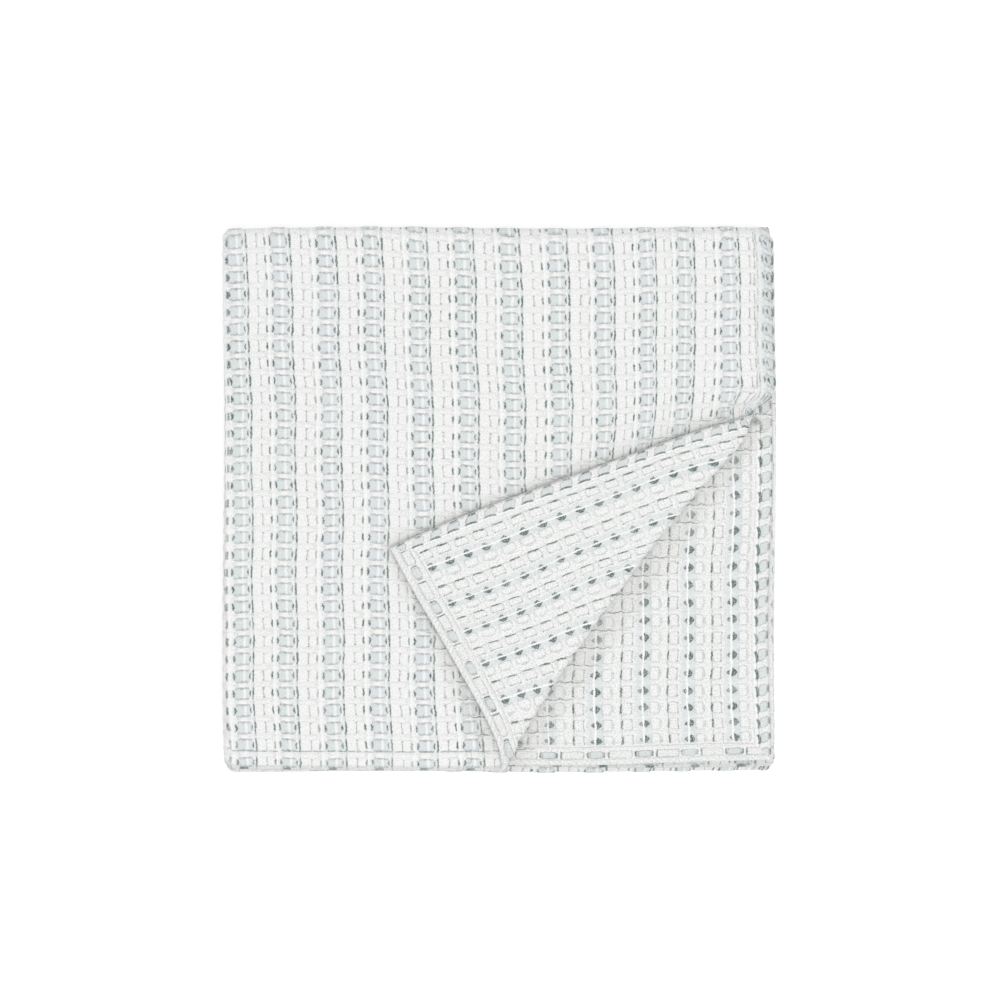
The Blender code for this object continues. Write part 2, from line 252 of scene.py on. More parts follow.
def uneven(x, y, z, u, v):
    """Sets the stack as unevenly as real cloth lies. The underside stays flat."""
    to_side_hem = 1 - ease(ACROSS.to_end(u) / HEM_WANDER_REACH)
    to_front_hem = 1 - ease(ALONG.to_end(v) / HEM_WANDER_REACH)
    side_hem = wave(SIDE_HEM_WANDER, v) - by_run(ALONG, v, SIDE_HEMS_IN)
    front_hem = wave(FRONT_HEM_WANDER, u) + by_run(ACROSS, u, FRONT_HEMS_IN)
    across, along = np.abs(x) / (STACK_WIDTH / 2), np.abs(y) / (STACK_DEPTH / 2)
    corner = CORNER_DRAW * np.minimum(1, across * along) ** CORNER_SHARPNESS
    moved_x = wave(SIDE_SWAY, y) + wave(SIDE_SLIDE, z) + to_side_hem * side_hem
    moved_y = wave(END_SWAY, x) + wave(END_SLIDE, z) + to_front_hem * front_hem
    edge = ease(np.maximum(across, along) ** EDGE_SHARPNESS) - 0.5
    roll = TOP_ROLL * wave(ROLL_ACROSS, x) * wave(ROLL_ALONG, y) * z / (2 * STACK_HALF)
    new_x = x + moved_x - np.sign(x) * corner
    new_y = y + moved_y - np.sign(y) * corner
    return np.column_stack((new_x, new_y, np.maximum(0, z * (1 + EDGE_RISE * edge + roll))))


def in_stack(u, v, out):
    """Carries points of the flat cloth, standing out on its front by out, into the stack."""
    x, from_packet = ACROSS.place(u, out)
    y, height = ALONG.place(v, from_packet)
    return uneven(x, y, height + STACK_HALF, u, v)


# The weave: pairs of a blue-grey and a white column run along v, and rows of cells run across them. The
# columns are drawn closer by the side hems, and the weave was folded a little askew.
PAIR = 33.3 * MM
ROW = 12.5 * MM
PAIRS_ACROSS = 48
FIRST_PAIR = 5 * MM
HEM_DRAW = 15.8 * MM
HEM_DRAW_PAIRS = 2
PAIR_SAMPLES = 401
FIRST_ROW = 2.9 * MM
ROW_BY_START = 12.42 * MM
ROW_BY_END = 12.8 * MM
COLUMN_DRIFT = 6.2 * MM
COLUMN_DRIFT_FROM = 60 * MM
COLUMN_DRIFT_RAMP = 100 * MM
COLUMN_DRIFT_OVER = 360 * MM
ROW_BOW = 3.3 * MM
ROW_BOW_RAMP = 300 * MM
# How far the columns have slipped towards their side hem, in millimetres: by the right hem one pair after
# another, and by the far hem at FAR_COLUMN_WAYS from it
COLUMN_SLIPS = (2.7, 1.4, -1.8, 3.2, 3.1, 2.4, 0.6, 0.7, 0.3, 1.0, 1.1, 0.9, 3.5, 0)
FAR_COLUMN_WAYS = (16, 31, 62)
FAR_COLUMN_SLIPS = (6.6, 4.3, 2.6)
# How far the hems of the top layers reach out over the stack's edge
FRONT_HEM_REACH = 2.4 * MM
SIDE_HEM_REACH = 1.4 * MM
HEM_REACH_OVER = 50 * MM
COLUMN_WOBBLE = Wave(0.5 * MM, 83 * MM, 0.1)
ROW_WOBBLE = Wave(0.5 * MM, 71 * MM, 0.6)


def pairs_from_hem(way):
    """How many pairs of columns lie between a side hem and a place on the cloth."""
    pitch = (ACROSS.length / 2 + HEM_DRAW - FIRST_PAIR) / (PAIRS_ACROSS / 2)
    pairs = np.linspace(-1, PAIRS_ACROSS / 2, PAIR_SAMPLES)
    ways = FIRST_PAIR + pitch * pairs - HEM_DRAW * (1 - np.exp(-pairs / HEM_DRAW_PAIRS))
    return np.interp(way, ways, pairs)


def hem_reach(way, most):
    return most * (1 - ease(way / HEM_REACH_OVER))


def weave_at(u, v):
    """The weave's own coordinates: pairs of columns across, and rows along."""
    half = ACROSS.length / 2
    from_hem = ACROSS.to_end(u)
    askew = COLUMN_DRIFT * ease((from_hem - COLUMN_DRIFT_FROM) / COLUMN_DRIFT_RAMP)
    askew = askew * (1 - v / COLUMN_DRIFT_OVER)
    shifted = from_hem + np.where(u < half, askew, -askew) + wave(COLUMN_WOBBLE, v)
    slip = np.interp(pairs_from_hem(shifted), np.arange(len(COLUMN_SLIPS)), COLUMN_SLIPS) * MM
    far_slip = np.interp(from_hem / MM, FAR_COLUMN_WAYS, FAR_COLUMN_SLIPS) * MM
    pairs = pairs_from_hem(shifted + np.where(u < half, slip, far_slip))
    bow = ROW_BOW * np.sin(math.pi * u / ACROSS.starts[1]) ** 2 * ease(v / ROW_BOW_RAMP)
    pitch = mix(ROW_BY_START, ROW_BY_END, u / ACROSS.length)
    rows = (v - hem_reach(v, FRONT_HEM_REACH) + bow + wave(ROW_WOBBLE, u) - FIRST_ROW) / pitch
    return np.where(u < half, pairs, PAIRS_ACROSS - pairs), rows


def near(x, at, half, soft):
    """1 within half of at, falling softly to 0."""
    return 1 - ease((np.abs(x - at) - half + soft) / (2 * soft))


def in_cell(pairs, rows, mirrored):
    """Places in millimetres from the middle of a blue-grey column and of a row."""
    across = (np.mod(-pairs if mirrored else pairs, 1) + 0.5) % 1 - 0.5
    return across * PAIR / MM, (np.mod(rows + 0.5, 1) - 0.5) * ROW / MM


# What stands up or lies deep in the weave, in millimetres: where it lies across a pair of columns, half
# its width and height there, and how high it stands. Without a height it runs on from row to row.
Form = namedtuple("Form", "across half_width half_height rise")
FRONT_FORMS = (
    Form(-0.5, 5.6, 3.4, 0.55),
    Form(8.1, 0.8, 3.9, -0.8),
    Form(-10.8, 0.8, 2.8, -0.6),
    Form(16.2, 0.5, 3.4, -0.35),
    Form(-6.8, 0.8, 2.4, -0.5),
    Form(-9.0, 1.2, None, 0.35),
)
REVERSE_FORMS = (
    Form(-2.2, 1.0, 1.8, -0.8),
    Form(1.9, 1.4, 2.4, -0.9),
    Form(-0.3, 0.6, None, 0.4),
    Form(8.3, 2.4, 3.4, 0.45),
    Form(-15.3, 0.9, 3.5, -0.7),
    Form(-11.6, 2.4, 3.6, 0.35),
    Form(-8.0, 0.5, 3.6, -0.35),
    Form(12.3, 0.5, 2.2, -0.3),
)
ROW_RIB = 0.45
ROW_RIB_HALF = 1.4
SEAM_LINE = 13.2 * MM
SEAM_DENT = 0.5
SEAM_HALF = 0.7
FORM_SOFT = 1.1


def relief(u, v, forms, mirrored):
    """How high the weave stands at places on the cloth, with a dent along the hems' seam line."""
    x, y = in_cell(*weave_at(u, v), mirrored)
    height = ROW_RIB * near(np.abs(y), ROW / MM / 2, ROW_RIB_HALF, FORM_SOFT)
    height = height - SEAM_DENT * near(to_edge(u, v) / MM, SEAM_LINE / MM, SEAM_HALF, FORM_SOFT)
    for form in forms:
        along = 1 if form.half_height is None else near(y, 0, form.half_height, FORM_SOFT)
        height = height + form.rise * near(x, form.across, form.half_width, FORM_SOFT) * along
    return height * MM


def shown(u, v):
    """1 on the two top layers, whose hems show, and 0 on the rest."""
    from_side_fold = np.maximum(ACROSS.starts[1] - u, u - ACROSS.starts[-2])
    return ease(np.minimum(from_side_fold, ALONG.starts[1] - v) / HEM_SHOWN_FADE)


def to_edge(u, v):
    return np.minimum(ACROSS.to_end(u), ALONG.to_end(v))


def hem_rise(u, v):
    """How much thicker the cloth is on its reverse, where its hems are turned over."""
    rise = mix(HEM_HIDDEN_RISE, HEM_SHOWN_RISE, shown(u, v))
    return rise * (1 - ease((to_edge(u, v) - HEM_WIDTH) / HEM_STEP))


def half_round(u, v):
    """How thick the cloth is by its rounded edge, as a share of its whole thickness."""
    share = np.clip(to_edge(u, v) / EDGE_ROUND, 0, 1)
    return np.maximum(EDGE_LEAST, np.sqrt(1 - (1 - share) ** 2))


def front_face(u, v, carved):
    raised = relief(u, v, FRONT_FORMS, True) if carved else 0
    return (CLOTH / 2 + raised) * half_round(u, v)


def reverse_face(u, v, carved):
    raised = relief(u, v, REVERSE_FORMS, False) if carved else 0
    return -(CLOTH / 2 + hem_rise(u, v) + raised) * half_round(u, v)


# The outline of the turned corner as it lies on the stack: where its side hem is folded, the cloth's own
# corner, and where its front hem is folded
TURN_OUTLINE = ((186 * MM, 62 * MM), (-66 * MM, -37 * MM), (5 * MM, -187 * MM))
# How far out from the turned corner's outline the painted shade starts to fade, and over how far it fades
PAINTED_SHADE_FROM = 6 * MM
PAINTED_SHADE_OVER = 14 * MM
# The two places where the painted shade is deepest, and how far it reaches there
DEEPEST = ((185.5 * MM, 58 * MM), (14 * MM, -176 * MM))
DEEPEST_REACH = 3.6 * MM


def by_turned_corner(points):
    """How much painted shade lies on points: 1 close around the turned corner, falling to 0 away from it, and
    2 where it is deepest.
    """
    outside = np.full(len(points), -1.0)
    for (ax, ay), (bx, by) in zip(TURN_OUTLINE, TURN_OUTLINE[1:] + TURN_OUTLINE[:1]):
        length = math.hypot(bx - ax, by - ay)
        away = ((points[:, 1] - ay) * (bx - ax) - (points[:, 0] - ax) * (by - ay)) / length
        outside = np.maximum(outside, -away)
    shade = 1 - ease((outside - PAINTED_SHADE_FROM) / PAINTED_SHADE_OVER)
    for place in DEEPEST:
        away = np.hypot(points[:, 0] - place[0], points[:, 1] - place[1])
        shade = shade + np.exp(-((away / DEEPEST_REACH) ** 2))
    return shade


# A piece of the cloth between grid lines. Each of its two faces is divided further by its own cuts, and
# more than one cut carves the weave into that face. keep says which cells of the grid belong to it.
Patch = namedtuple("Patch", "us vs front_cuts reverse_cuts keep")


def patch(u_from, u_to, v_from, v_to, spacing, front_cuts=1, reverse_cuts=1, keep=None):
    us, vs = ACROSS.lines(u_from, u_to, spacing), ALONG.lines(v_from, v_to, spacing)
    kept = np.ones((len(us) - 1, len(vs) - 1), bool) if keep is None else keep(us, vs)
    return Patch(us, vs, front_cuts, reverse_cuts, kept)


def divided(lines, cuts):
    return np.interp(np.arange((len(lines) - 1) * cuts + 1) / cuts, np.arange(len(lines)), lines)


def make_cloth(name, patches, carry, lies_under=None):
    """A closed sheet with two faces and a rim, from patches of the flat cloth carried into place.
    lies_under says which places of the cloth may lie in the turned corner's shade."""
    points, flats, loops, faces = [], [], [], []
    count = 0
    for part in patches:
        ids = []
        for is_front, cuts in ((True, part.front_cuts), (False, part.reverse_cuts)):
            u, v = np.meshgrid(divided(part.us, cuts), divided(part.vs, cuts), indexing="ij")
            cells = np.kron(part.keep, np.ones((cuts, cuts), bool))
            around = np.pad(cells, 1)
            used = around[1:, 1:] | around[1:, :-1] | around[:-1, 1:] | around[:-1, :-1]
            index = np.full(u.shape, -1)
            index[used] = count + np.arange(used.sum())
            count += used.sum()
            face = front_face if is_front else reverse_face
            u, v = u[used], v[used]
            points.append(carry(u, v, face(u, v, cuts > 1)))
            flats.append(np.column_stack((u, v)))
            quads = [index[:-1, :-1], index[:-1, 1:], index[1:, 1:], index[1:, :-1]]
            quads = np.stack(quads if is_front else quads[::-1], axis=-1)[cells]
            loops.append(quads.ravel())
            faces += [(4, not is_front, True)] * len(quads)
            ids.append(index)
        rims = rim_loops(part, *ids)
        loops.append(np.concatenate(rims))
        faces += [(len(rim), False, False) for rim in rims]
    points, flats, loops = np.concatenate(points), np.concatenate(flats), np.concatenate(loops)
    totals, is_reverse, is_smooth = np.array(faces).T
    mesh = bpy.data.meshes.new(name)
    mesh.vertices.add(len(points))
    mesh.vertices.foreach_set("co", points.ravel())
    mesh.loops.add(len(loops))
    mesh.loops.foreach_set("vertex_index", loops.astype(np.int32))
    mesh.polygons.add(len(totals))
    mesh.polygons.foreach_set("loop_start", (np.cumsum(totals) - totals).astype(np.int32))
    mesh.polygons.foreach_set("material_index", is_reverse.astype(np.int32))
    mesh.polygons.foreach_set("use_smooth", is_smooth.astype(bool))
    weave = np.column_stack(weave_at(flats[:, 0], flats[:, 1]))
    for layer, uv in (("weave", weave), ("flat", flats)):
        mesh.uv_layers.new(name=layer).data.foreach_set("uv", uv[loops].ravel())
    # The painted shade around the turned corner, kept on the points for the cotton's colour
    shade = by_turned_corner(points)
    if lies_under:
        shade = shade * lies_under(flats[:, 0], flats[:, 1])
    mesh.attributes.new("painted_shade", "FLOAT", "POINT").data.foreach_set("value", shade)
    mesh.update(calc_edges=True)
    mesh.validate()
    mesh.materials.append(front_cotton)
    mesh.materials.append(reverse_cotton)
    area = sum(np.outer(np.diff(p.us), np.diff(p.vs))[p.keep].sum() for p in patches)
    width, length = extent(patches, 0), extent(patches, 1)
    piece = add_object(name, mesh)
    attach(piece, "root")
    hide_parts("blanket")


def add_object(name, data):
    """Puts a mesh, a light or a camera into the scene."""
    added = bpy.data.objects.new(name, data)
    bpy.context.scene.collection.objects.link(added)
    return added


def extent(patches, axis):
    """How far the kept cells of patches reach on the flat cloth: across it for axis 0, along it for 1."""
    ends = []
    for part in patches:
        lines, used = part[axis], part.keep.any(axis=1 - axis)
        ends += [lines[:-1][used].min(), lines[1:][used].max()]
    return max(ends) - min(ends)


def cell_side(index, cuts, start, stop):
    """The points of a face along one side of a cell, between two corners of the grid."""
    (i0, j0), (i1, j1) = start, stop
    return [index[i0 * cuts + (i1 - i0) * k, j0 * cuts + (j1 - j0) * k] for k in range(cuts + 1)]


def rim_loops(part, front, reverse):
    """The faces that close a patch's rim, one for each outer side of its cells."""
    around = np.pad(part.keep, 1)
    rims = []
    # The way to the neighbour on each side of a cell, and the two corners of that side
    sides = (
        ((-1, 0), (0, 0), (0, 1)),
        ((0, 1), (0, 1), (1, 1)),
        ((1, 0), (1, 1), (1, 0)),
        ((0, -1), (1, 0), (0, 0)),
    )
    for i, j in np.argwhere(part.keep):
        for (di, dj), (i0, j0), (i1, j1) in sides:
            if not around[i + 1 + di, j + 1 + dj]:
                ends = (i + i0, j + j0), (i + i1, j + j1)
                ahead = cell_side(front, part.front_cuts, *ends)
                rims.append(ahead[::-1] + cell_side(reverse, part.reverse_cuts, *ends))
    return rims


class Wire:
    """A value in a node tree, on which sums are written as in plain Python."""

    def __init__(self, tree, socket=None):
        self.tree, self.socket = tree, socket

    def node(self, kind, settings=None, values=None, output=0):
        """Adds a node: its settings first, then the values or wires of its sockets."""
        node = self.tree.nodes.new(kind)
        for key, value in (settings or {}).items():
            setattr(node, key, value)
        for key, value in (values or {}).items():
            if isinstance(value, Wire):
                self.tree.links.new(value.socket, node.inputs[key])
            else:
                node.inputs[key].default_value = value
        return Wire(self.tree, node.outputs[output])

    def maths(self, operation, *others):
        return self.node("ShaderNodeMath", {"operation": operation}, dict(enumerate((self, *others))))

    __add__ = __radd__ = partialmethod(maths, "ADD")
    __sub__ = partialmethod(maths, "SUBTRACT")
    __mul__ = __rmul__ = partialmethod(maths, "MULTIPLY")
    __truediv__ = partialmethod(maths, "DIVIDE")
    __abs__ = partialmethod(maths, "ABSOLUTE")
    least = partialmethod(maths, "MINIMUM")
    most = partialmethod(maths, "MAXIMUM")
    fraction = partialmethod(maths, "FRACT")
    rounded = partialmethod(maths, "ROUND")
    power = partialmethod(maths, "POWER")

    def __rsub__(self, other):
        return self.node("ShaderNodeMath", {"operation": "SUBTRACT"}, {0: other, 1: self})

    def from_middle(self):
        """How far a value lies from the nearest whole number, as -0.5 to 0.5."""
        return (self + 0.5).fraction() - 0.5

    def smooth(self, low, high):
        """0 below low, 1 above high."""
        sockets = {"Value": self, "From Min": low, "From Max": high}
        return self.node("ShaderNodeMapRange", {"interpolation_type": "SMOOTHSTEP"}, sockets)

    def near(self, at, half, soft):
        """1 within half of at, falling softly to 0."""
        return 1 - abs(self - at).smooth(half - soft, half + soft)

    def tint(self, other, share):
        """Mixes two colours."""
        return self.node("ShaderNodeMix", {"data_type": "RGBA"}, {0: share, 6: self, 7: other}, output=2)

    def part(self, axis):
        """One coordinate of a vector."""
        return self.node("ShaderNodeSeparateXYZ", None, {0: self}, output=axis)

    def noise(self, grain, output=0):
        """Noise over places on the cloth: one value, or with output=1 a vector of three."""
        sockets = {"Vector": self, "Scale": grain.scale, "Detail": grain.detail}
        return self.node("ShaderNodeTexNoise", {"noise_dimensions": "2D"}, sockets, output)


# The yarns' colours, and the grey and beige of the shade between them
WHITE_YARN = (0.885, 0.887, 0.878, 1)
BRIGHT_YARN = (0.95, 0.955, 0.95, 1)
BLUE_YARN = (0.575, 0.622, 0.644, 1)
SKY_YARN = (0.60, 0.68, 0.71, 1)
DARK_YARN = (0.07, 0.12, 0.105, 1)
SHADE_GREY = (0.29, 0.315, 0.305, 1)
SHADE_BEIGE = (0.52, 0.50, 0.46, 1)

# How uneven the yarns are: scale counts the patches on a metre of cloth, detail how often they are refined
Grain = namedtuple("Grain", "scale detail")
SLOW_SWAY = Grain(90, 2)
FAST_SWAY = Grain(520, 1)
PATCHES = Grain(150, 2)
MOTTLE = Grain(900, 3)
SPECKLE = Grain(1500, 1)
FLUFF = Grain(1900, 2)
# How far the yarns stray across and along, in millimetres: over several cells, and from cell to cell
STRAYS = ((1.8, 1.1), (1.3, 1.0))
# Single yarns, the cells between the lines of a row, and where the hems end on the reverse, in millimetres
YARN_PITCH = 1.25
YARN_HALF = 0.26
CELL_PITCH = 8.3
CELL_SQUARENESS = 5
MARK_SOFT = 0.35
MARK_END_SOFT = 0.9
HEM_ENDS = (14.2, 14.8)

# The dark yarn where it comes to the surface, in millimetres from the middle of a column pair and a row.
# curve is how far a mark's ends bend to the right. On the hems, across counts from the cloth's edge or
# from the middle of the hem's own blocks.
Mark = namedtuple("Mark", "across half_width half_height curve strength")
FRONT_DASHES = Mark(8.0, 0.65, 4.3, -0.015, 0.9)
FRONT_ALTERNATE = Mark(-11.0, 0.7, 2.5, 0.03, 0.95)
REVERSE_DASHES = Mark(-15.3, 0.65, 3.4, 0, 0.95)
REVERSE_LINES = (
    Mark(10.9, 0.35, 2.9, 0, 0.2),
    Mark(12.5, 0.4, 2.4, -0.05, 0.34),
    Mark(-5.8, 0.35, 2.6, 0, 0.2),
)
SIDE_HEM_EDGE = Mark(1.2, 0.7, 2.6, 0, 0.8)
SIDE_HEM_DASHES = Mark(8.9, 0.95, 3.9, 0.05, 1.0)
FRONT_HEM_MARKS = (
    Mark(-6.2, 0.7, 2.2, 0.1, 0.85),
    Mark(5.9, 0.65, 2.0, -0.1, 0.8),
    Mark(8.8, 0.6, 2.6, 0, 0.75),
)


def strongest(first, *others):
    for other in others:
        first = first.most(other)
    return first


def mark_shape(x, y, mark):
    bent = x - y * y * mark.curve
    thick = bent.near(mark.across, mark.half_width, MARK_SOFT)
    return thick * y.near(0, mark.half_height, MARK_END_SOFT) * mark.strength


def wedge(x, y, base, tip, half_height):
    """A mark that is half_height tall each way at its base and rounds off to its tip."""
    length = abs(tip - base)
    from_base = (x - base) * math.copysign(1, tip - base)
    to_outline = length - from_base - y * y * (length / half_height**2)
    return from_base.smooth(-0.15, 0.4) * to_outline.smooth(-0.4, 0.5)


def rounded_cell(x, y, at, half_width, half_height):
    """Grows from 0 in the middle of a rounded cell to 1 on its outline."""
    across, up = abs(x - at) / half_width, abs(y) / half_height
    return across.power(CELL_SQUARENESS) + up.power(CELL_SQUARENESS)


def laid_over(colour, lively, greys, darks):
    """A colour with the greys over it, painted shade between the yarns and grey yarn marks, and then the dark
    yarn.
    """
    colour = colour.tint(SHADE_GREY, strongest(*greys) * lively)
    return colour.tint(DARK_YARN, strongest(*darks) * lively)


# Painted shade in the groove round a raised cell or block, as a grey ring on its outline
def outline_shade(cell, strength):
    return cell.near(1.0, 0.4, 0.45) * strength


def little_i(x, y, at, half_height):
    """The fine grey stem with a dot at each end, in the middle of a white cell."""
    stem = x.near(at, 0.4, 0.35) * y.near(0, half_height, 0.5) * 0.64
    return stem.most(x.near(at, 0.65, 0.45) * abs(y).near(half_height, 0.5, 0.4))


# What a pattern is laid out by: millimetres from the middle of a column pair and a row (x, y), on the flat
# cloth (u, v) and from its edges, and how strongly the yarns show there (lively, patchy). The numbers in
# the patterns are such millimetres, and the factors behind them are the strengths of the yarns' colours.
Place = namedtuple("Place", "x y u v from_side from_front sway_x sway_y lively patchy white other_pair")


def front_columns(at, y):
    """The weave's front: blue-grey blocks with a white stripe, and white cells between dark dashes."""
    x = at.x
    pinched = abs(y) + x.near(0.8, 1.5, 1.5) * 0.25
    cell = rounded_cell(x, pinched, -0.5, 6.1, 4.5)
    block = 1 - cell.smooth(0.7, 1.3)
    # rim darkens the blocks towards their top and bottom: painted shade where the raised blocks round off, on
    # top of the blue yarn
    rim = (abs(y) / 4.2).smooth(0.45, 0.95)
    near_rows = y.near(0, 3.6, 1.6)
    colour = at.white.tint(BLUE_YARN, block * (0.72 + 0.28 * rim) * (1 - 0.1 * x.smooth(1, 3)))
    strips = x.near(6.9, 0.7, 0.5) * (0.22 + 0.25 * near_rows)
    colour = colour.tint(SKY_YARN, strips.most(x.near(-8.0, 0.6, 0.5) * near_rows * 0.4))
    colour = colour.tint(BRIGHT_YARN, x.near(-9.3, 0.8, 0.6) * 0.4)
    colour = colour.tint(BRIGHT_YARN, x.near(0.9, 0.95, 0.5) * y.near(0, 3.6, 0.8) * 0.62)
    colour = colour.tint(BRIGHT_YARN, abs(y).near(6.3, 0.8, 0.8) * x.near(0.5, 3.4, 1.0) * 0.25)
    ribs = strongest(
        x.near(-5.2, 1.6, 0.7), x.near(3.0, 1.0, 0.6), x.near(7.3, 1.0, 0.5), x.near(-12.3, 0.7, 0.5)
    )
    # The outlines, the greys at the blocks' top and bottom and those between the rows are painted shade; the
    # lines beside the dashes and the two little i marks are grey yarn
    greys = (
        outline_shade(cell, 0.66) * x.near(-0.5, 5.2, 0.8) * (0.5 + 0.5 * rim),
        x.near(-5.0, 0.7, 0.7).most(x.near(4.8, 0.4, 0.5)) * abs(y).smooth(3.6, 4.8) * 0.24,
        x.near(-1.3, 1.2, 0.7).most(x.near(2.6, 0.8, 0.6) * 0.75) * abs(y).near(3.7, 0.5, 0.5) * 0.8,
        outline_shade(rounded_cell(x, y, -14.0, 2.8, 4.5), 0.26),
        abs(y).near(4.6, 0.25, 0.4) * x.near(12.5, 3.4, 0.8) * 0.24,
        x.near(8.0, 0.45, 0.4) * 0.5,
        x.near(-10.9, 0.3, 0.4) * 0.25,
        ribs * abs(y).near(6.2, 1.3, 0.8) * 0.17,
        little_i(x, y, 15.8, 3.4),
        little_i(x, y, -17.5, 3.4),
    )
    darks = (
        wedge(x, y, -7.3, -5.5, 3.2) * 0.9,
        wedge(x, y, 6.0, 4.4, 2.6) * 0.88,
        mark_shape(x, y, FRONT_DASHES),
        mark_shape(x, y, FRONT_ALTERNATE) * (0.5 + 0.5 * at.other_pair),
    )
    return laid_over(colour, at.lively, greys, darks)


def front_pattern(at):
    """The front's columns, slanting by the side hems, and the edges, seams and left fold: painted shade on
    the rounded edges and in the seam's groove, and dark yarn marks by the edges and the fold.
    """
    by_side = 1 - at.from_side.smooth(11.5, 13.5)
    by_front = 1 - at.from_front.smooth(11, 13)
    slanted = (at.y + by_side * (at.x * 0.3)) * (1 + by_front * 0.28)
    colour = front_columns(at, slanted)
    colour = colour.tint(BLUE_YARN, by_side * at.from_side.smooth(1.5, 3) * (0.15 + 0.25 * at.patchy))
    from_edge = at.from_side.least(at.from_front)
    # Painted shade where the cloth rounds off at its edges
    colour = colour.tint(SHADE_GREY, (1 - from_edge.smooth(2.8, 4.4)) * 0.3)
    # The seam line is painted darker: painted shade in its groove
    seam = (from_edge + at.sway_y * 0.7).near(SEAM_LINE / MM, 0.4, 0.4)
    side_rim = (1 - at.from_side.smooth(1.5, 2.4)) * at.y.near(0, 2.8, 0.8)
    front_rim = (1 - at.from_front.smooth(1.5, 2.4)) * at.x.near(-2, 3.0, 0.8)
    by_fold = at.u.near(ACROSS.starts[1] / MM + 1.8, 0.6, 0.5) * at.y.near(0, 2.8, 0.8)
    marks = strongest(
        side_rim.most(front_rim) * 0.85,
        wedge(at.x, slanted, -2.6, -4.6, 2.6) * by_side * 0.9,
        by_fold * at.v.smooth(20, 30) * 0.7,
    )
    return colour.tint(DARK_YARN, (seam * at.patchy.smooth(0.3, 0.55) * 0.7).most(marks * at.lively))


def reverse_columns(at):
    """The weave's reverse: pairs of dark dots on each side of a white yarn, with white cells between."""
    x, y = at.x, at.y
    near_rows = y.near(0, 4.0, 1.5)
    blue = (x.near(3.0, 2.5, 0.9) * (0.46 + 0.34 * near_rows)).most(x.near(-3.3, 1.9, 0.9) * 0.5)
    colour = at.white.tint(BLUE_YARN, blue * at.lively.least(1))
    colour = colour.tint(BRIGHT_YARN, x.near(-0.35, 0.42, 0.35))
    # A faint painted highlight in the middle of each raised white cell
    colour = colour.tint(BRIGHT_YARN, rounded_cell(x, y, 8.3, 2.4, 3.6).near(0, 0.5, 0.4) * 0.1)
    cells = rounded_cell(x, y, 8.2, 3.4, 4.5).least(rounded_cell(x, y, -11.4, 3.2, 4.5))
    greys = (little_i(x, y, -8.0, 3.7), x.near(-15.3, 0.4, 0.4) * 0.55, outline_shade(cells, 0.4))
    darks = (
        wedge(x, y - 0.3, 0.3, 4.0, 3.5),
        wedge(x, y, -1.1, -3.4, 2.1) * 0.78,
        mark_shape(x - y * 0.08, y, REVERSE_DASHES),
        *(mark_shape(x, y, line) for line in REVERSE_LINES),
    )
    return laid_over(colour, at.lively, greys, darks)


def side_hem(at):
    """A side hem's turned-over edge: a line of slanting pale blocks beside a white strand."""
    across = at.from_side + at.sway_x * 0.5
    slanted = at.y + across * 0.38 - 2.0
    row = (slanted / (ROW / MM)).from_middle() * (ROW / MM)
    block = rounded_cell(across, row, 5.1, 2.8, 4.0)
    colour = at.white.tint(BLUE_YARN, (1 - block.smooth(0.6, 1.3)) * (0.3 + 0.36 * at.lively))
    colour = colour.tint(BRIGHT_YARN, across.near(10.6, 0.8, 0.4) * 0.6)
    greys = (
        outline_shade(block, 0.75),
        across.near(9.0, 0.3, 0.4) * 0.5,
        across.near(12.6, 0.2, 0.4) * 0.3,
        # Painted shade on the hem's rounded edge
        (1 - across.smooth(1.4, 2.2)) * 0.25,
    )
    darks = mark_shape(across, row, SIDE_HEM_EDGE), mark_shape(across - row * 0.12, row, SIDE_HEM_DASHES)
    return laid_over(colour, at.lively, greys, darks)


def front_hem(at):
    """The front hem's turned-over edge: a white strand along it and one low block for each column."""
    across = at.from_front + at.sway_y * 0.5
    low = across - 7.4
    block = rounded_cell(at.x, low, 0, 4.7, 2.5)
    cell = rounded_cell(abs(at.x), low, 13.2, 4.8, 2.7)
    colour = at.white.tint(BLUE_YARN, (1 - block.smooth(0.5, 1.2)) * (0.34 + 0.4 * at.lively))
    twist = ((at.x + across * 1.3) / 4.6).fraction().near(0.5, 0.1, 0.14)
    colour = colour.tint(SHADE_BEIGE, (1 - cell.smooth(0.4, 1.2)) * 0.1)
    greys = (
        outline_shade(block, 0.85),
        outline_shade(cell, 0.65),
        across.near(4.1, 0.3, 0.4) * 0.42,
        (1 - across.smooth(3.4, 4.2)) * (0.03 + 0.26 * twist),
        across.near(13.2, 0.35, 0.4) * 0.5,
    )
    return laid_over(colour, at.lively, greys, (mark_shape(at.x, low, mark) for mark in FRONT_HEM_MARKS))


def reverse_pattern(at):
    """The reverse's columns, and the hems that are turned over on this side, mitred at their corners."""
    colour = reverse_columns(at).tint(front_hem(at), 1 - at.from_front.smooth(*HEM_ENDS))
    in_side = (1 - at.from_side.smooth(*HEM_ENDS)) * (at.from_front - at.from_side).smooth(-0.5, 0.5)
    return colour.tint(side_hem(at), in_side)


def shaded(colour, at, painted_shade):
    """The painted shade by the turned corner: a beige tint, dark spots where it is deepest, and the lines
    between the rows painted darker in it and faintly elsewhere.
    """
    across_cell = (at.x / CELL_PITCH).fraction() - 0.5
    row_line = (across_cell * across_cell * 4 - at.y).near(5.9, 0.4, 0.4)
    colour = colour.tint(SHADE_BEIGE, painted_shade * 0.3)
    # Painted deep shadow, in the dark yarn's colour, at the two ends of the fold
    colour = colour.tint(DARK_YARN, painted_shade.smooth(1.1, 2.0) * 0.7)
    in_shade = painted_shade.least(1) * at.patchy.smooth(0.25, 0.5) * 0.9
    return colour.tint(DARK_YARN, row_line * in_shade.most(at.patchy * 0.16))


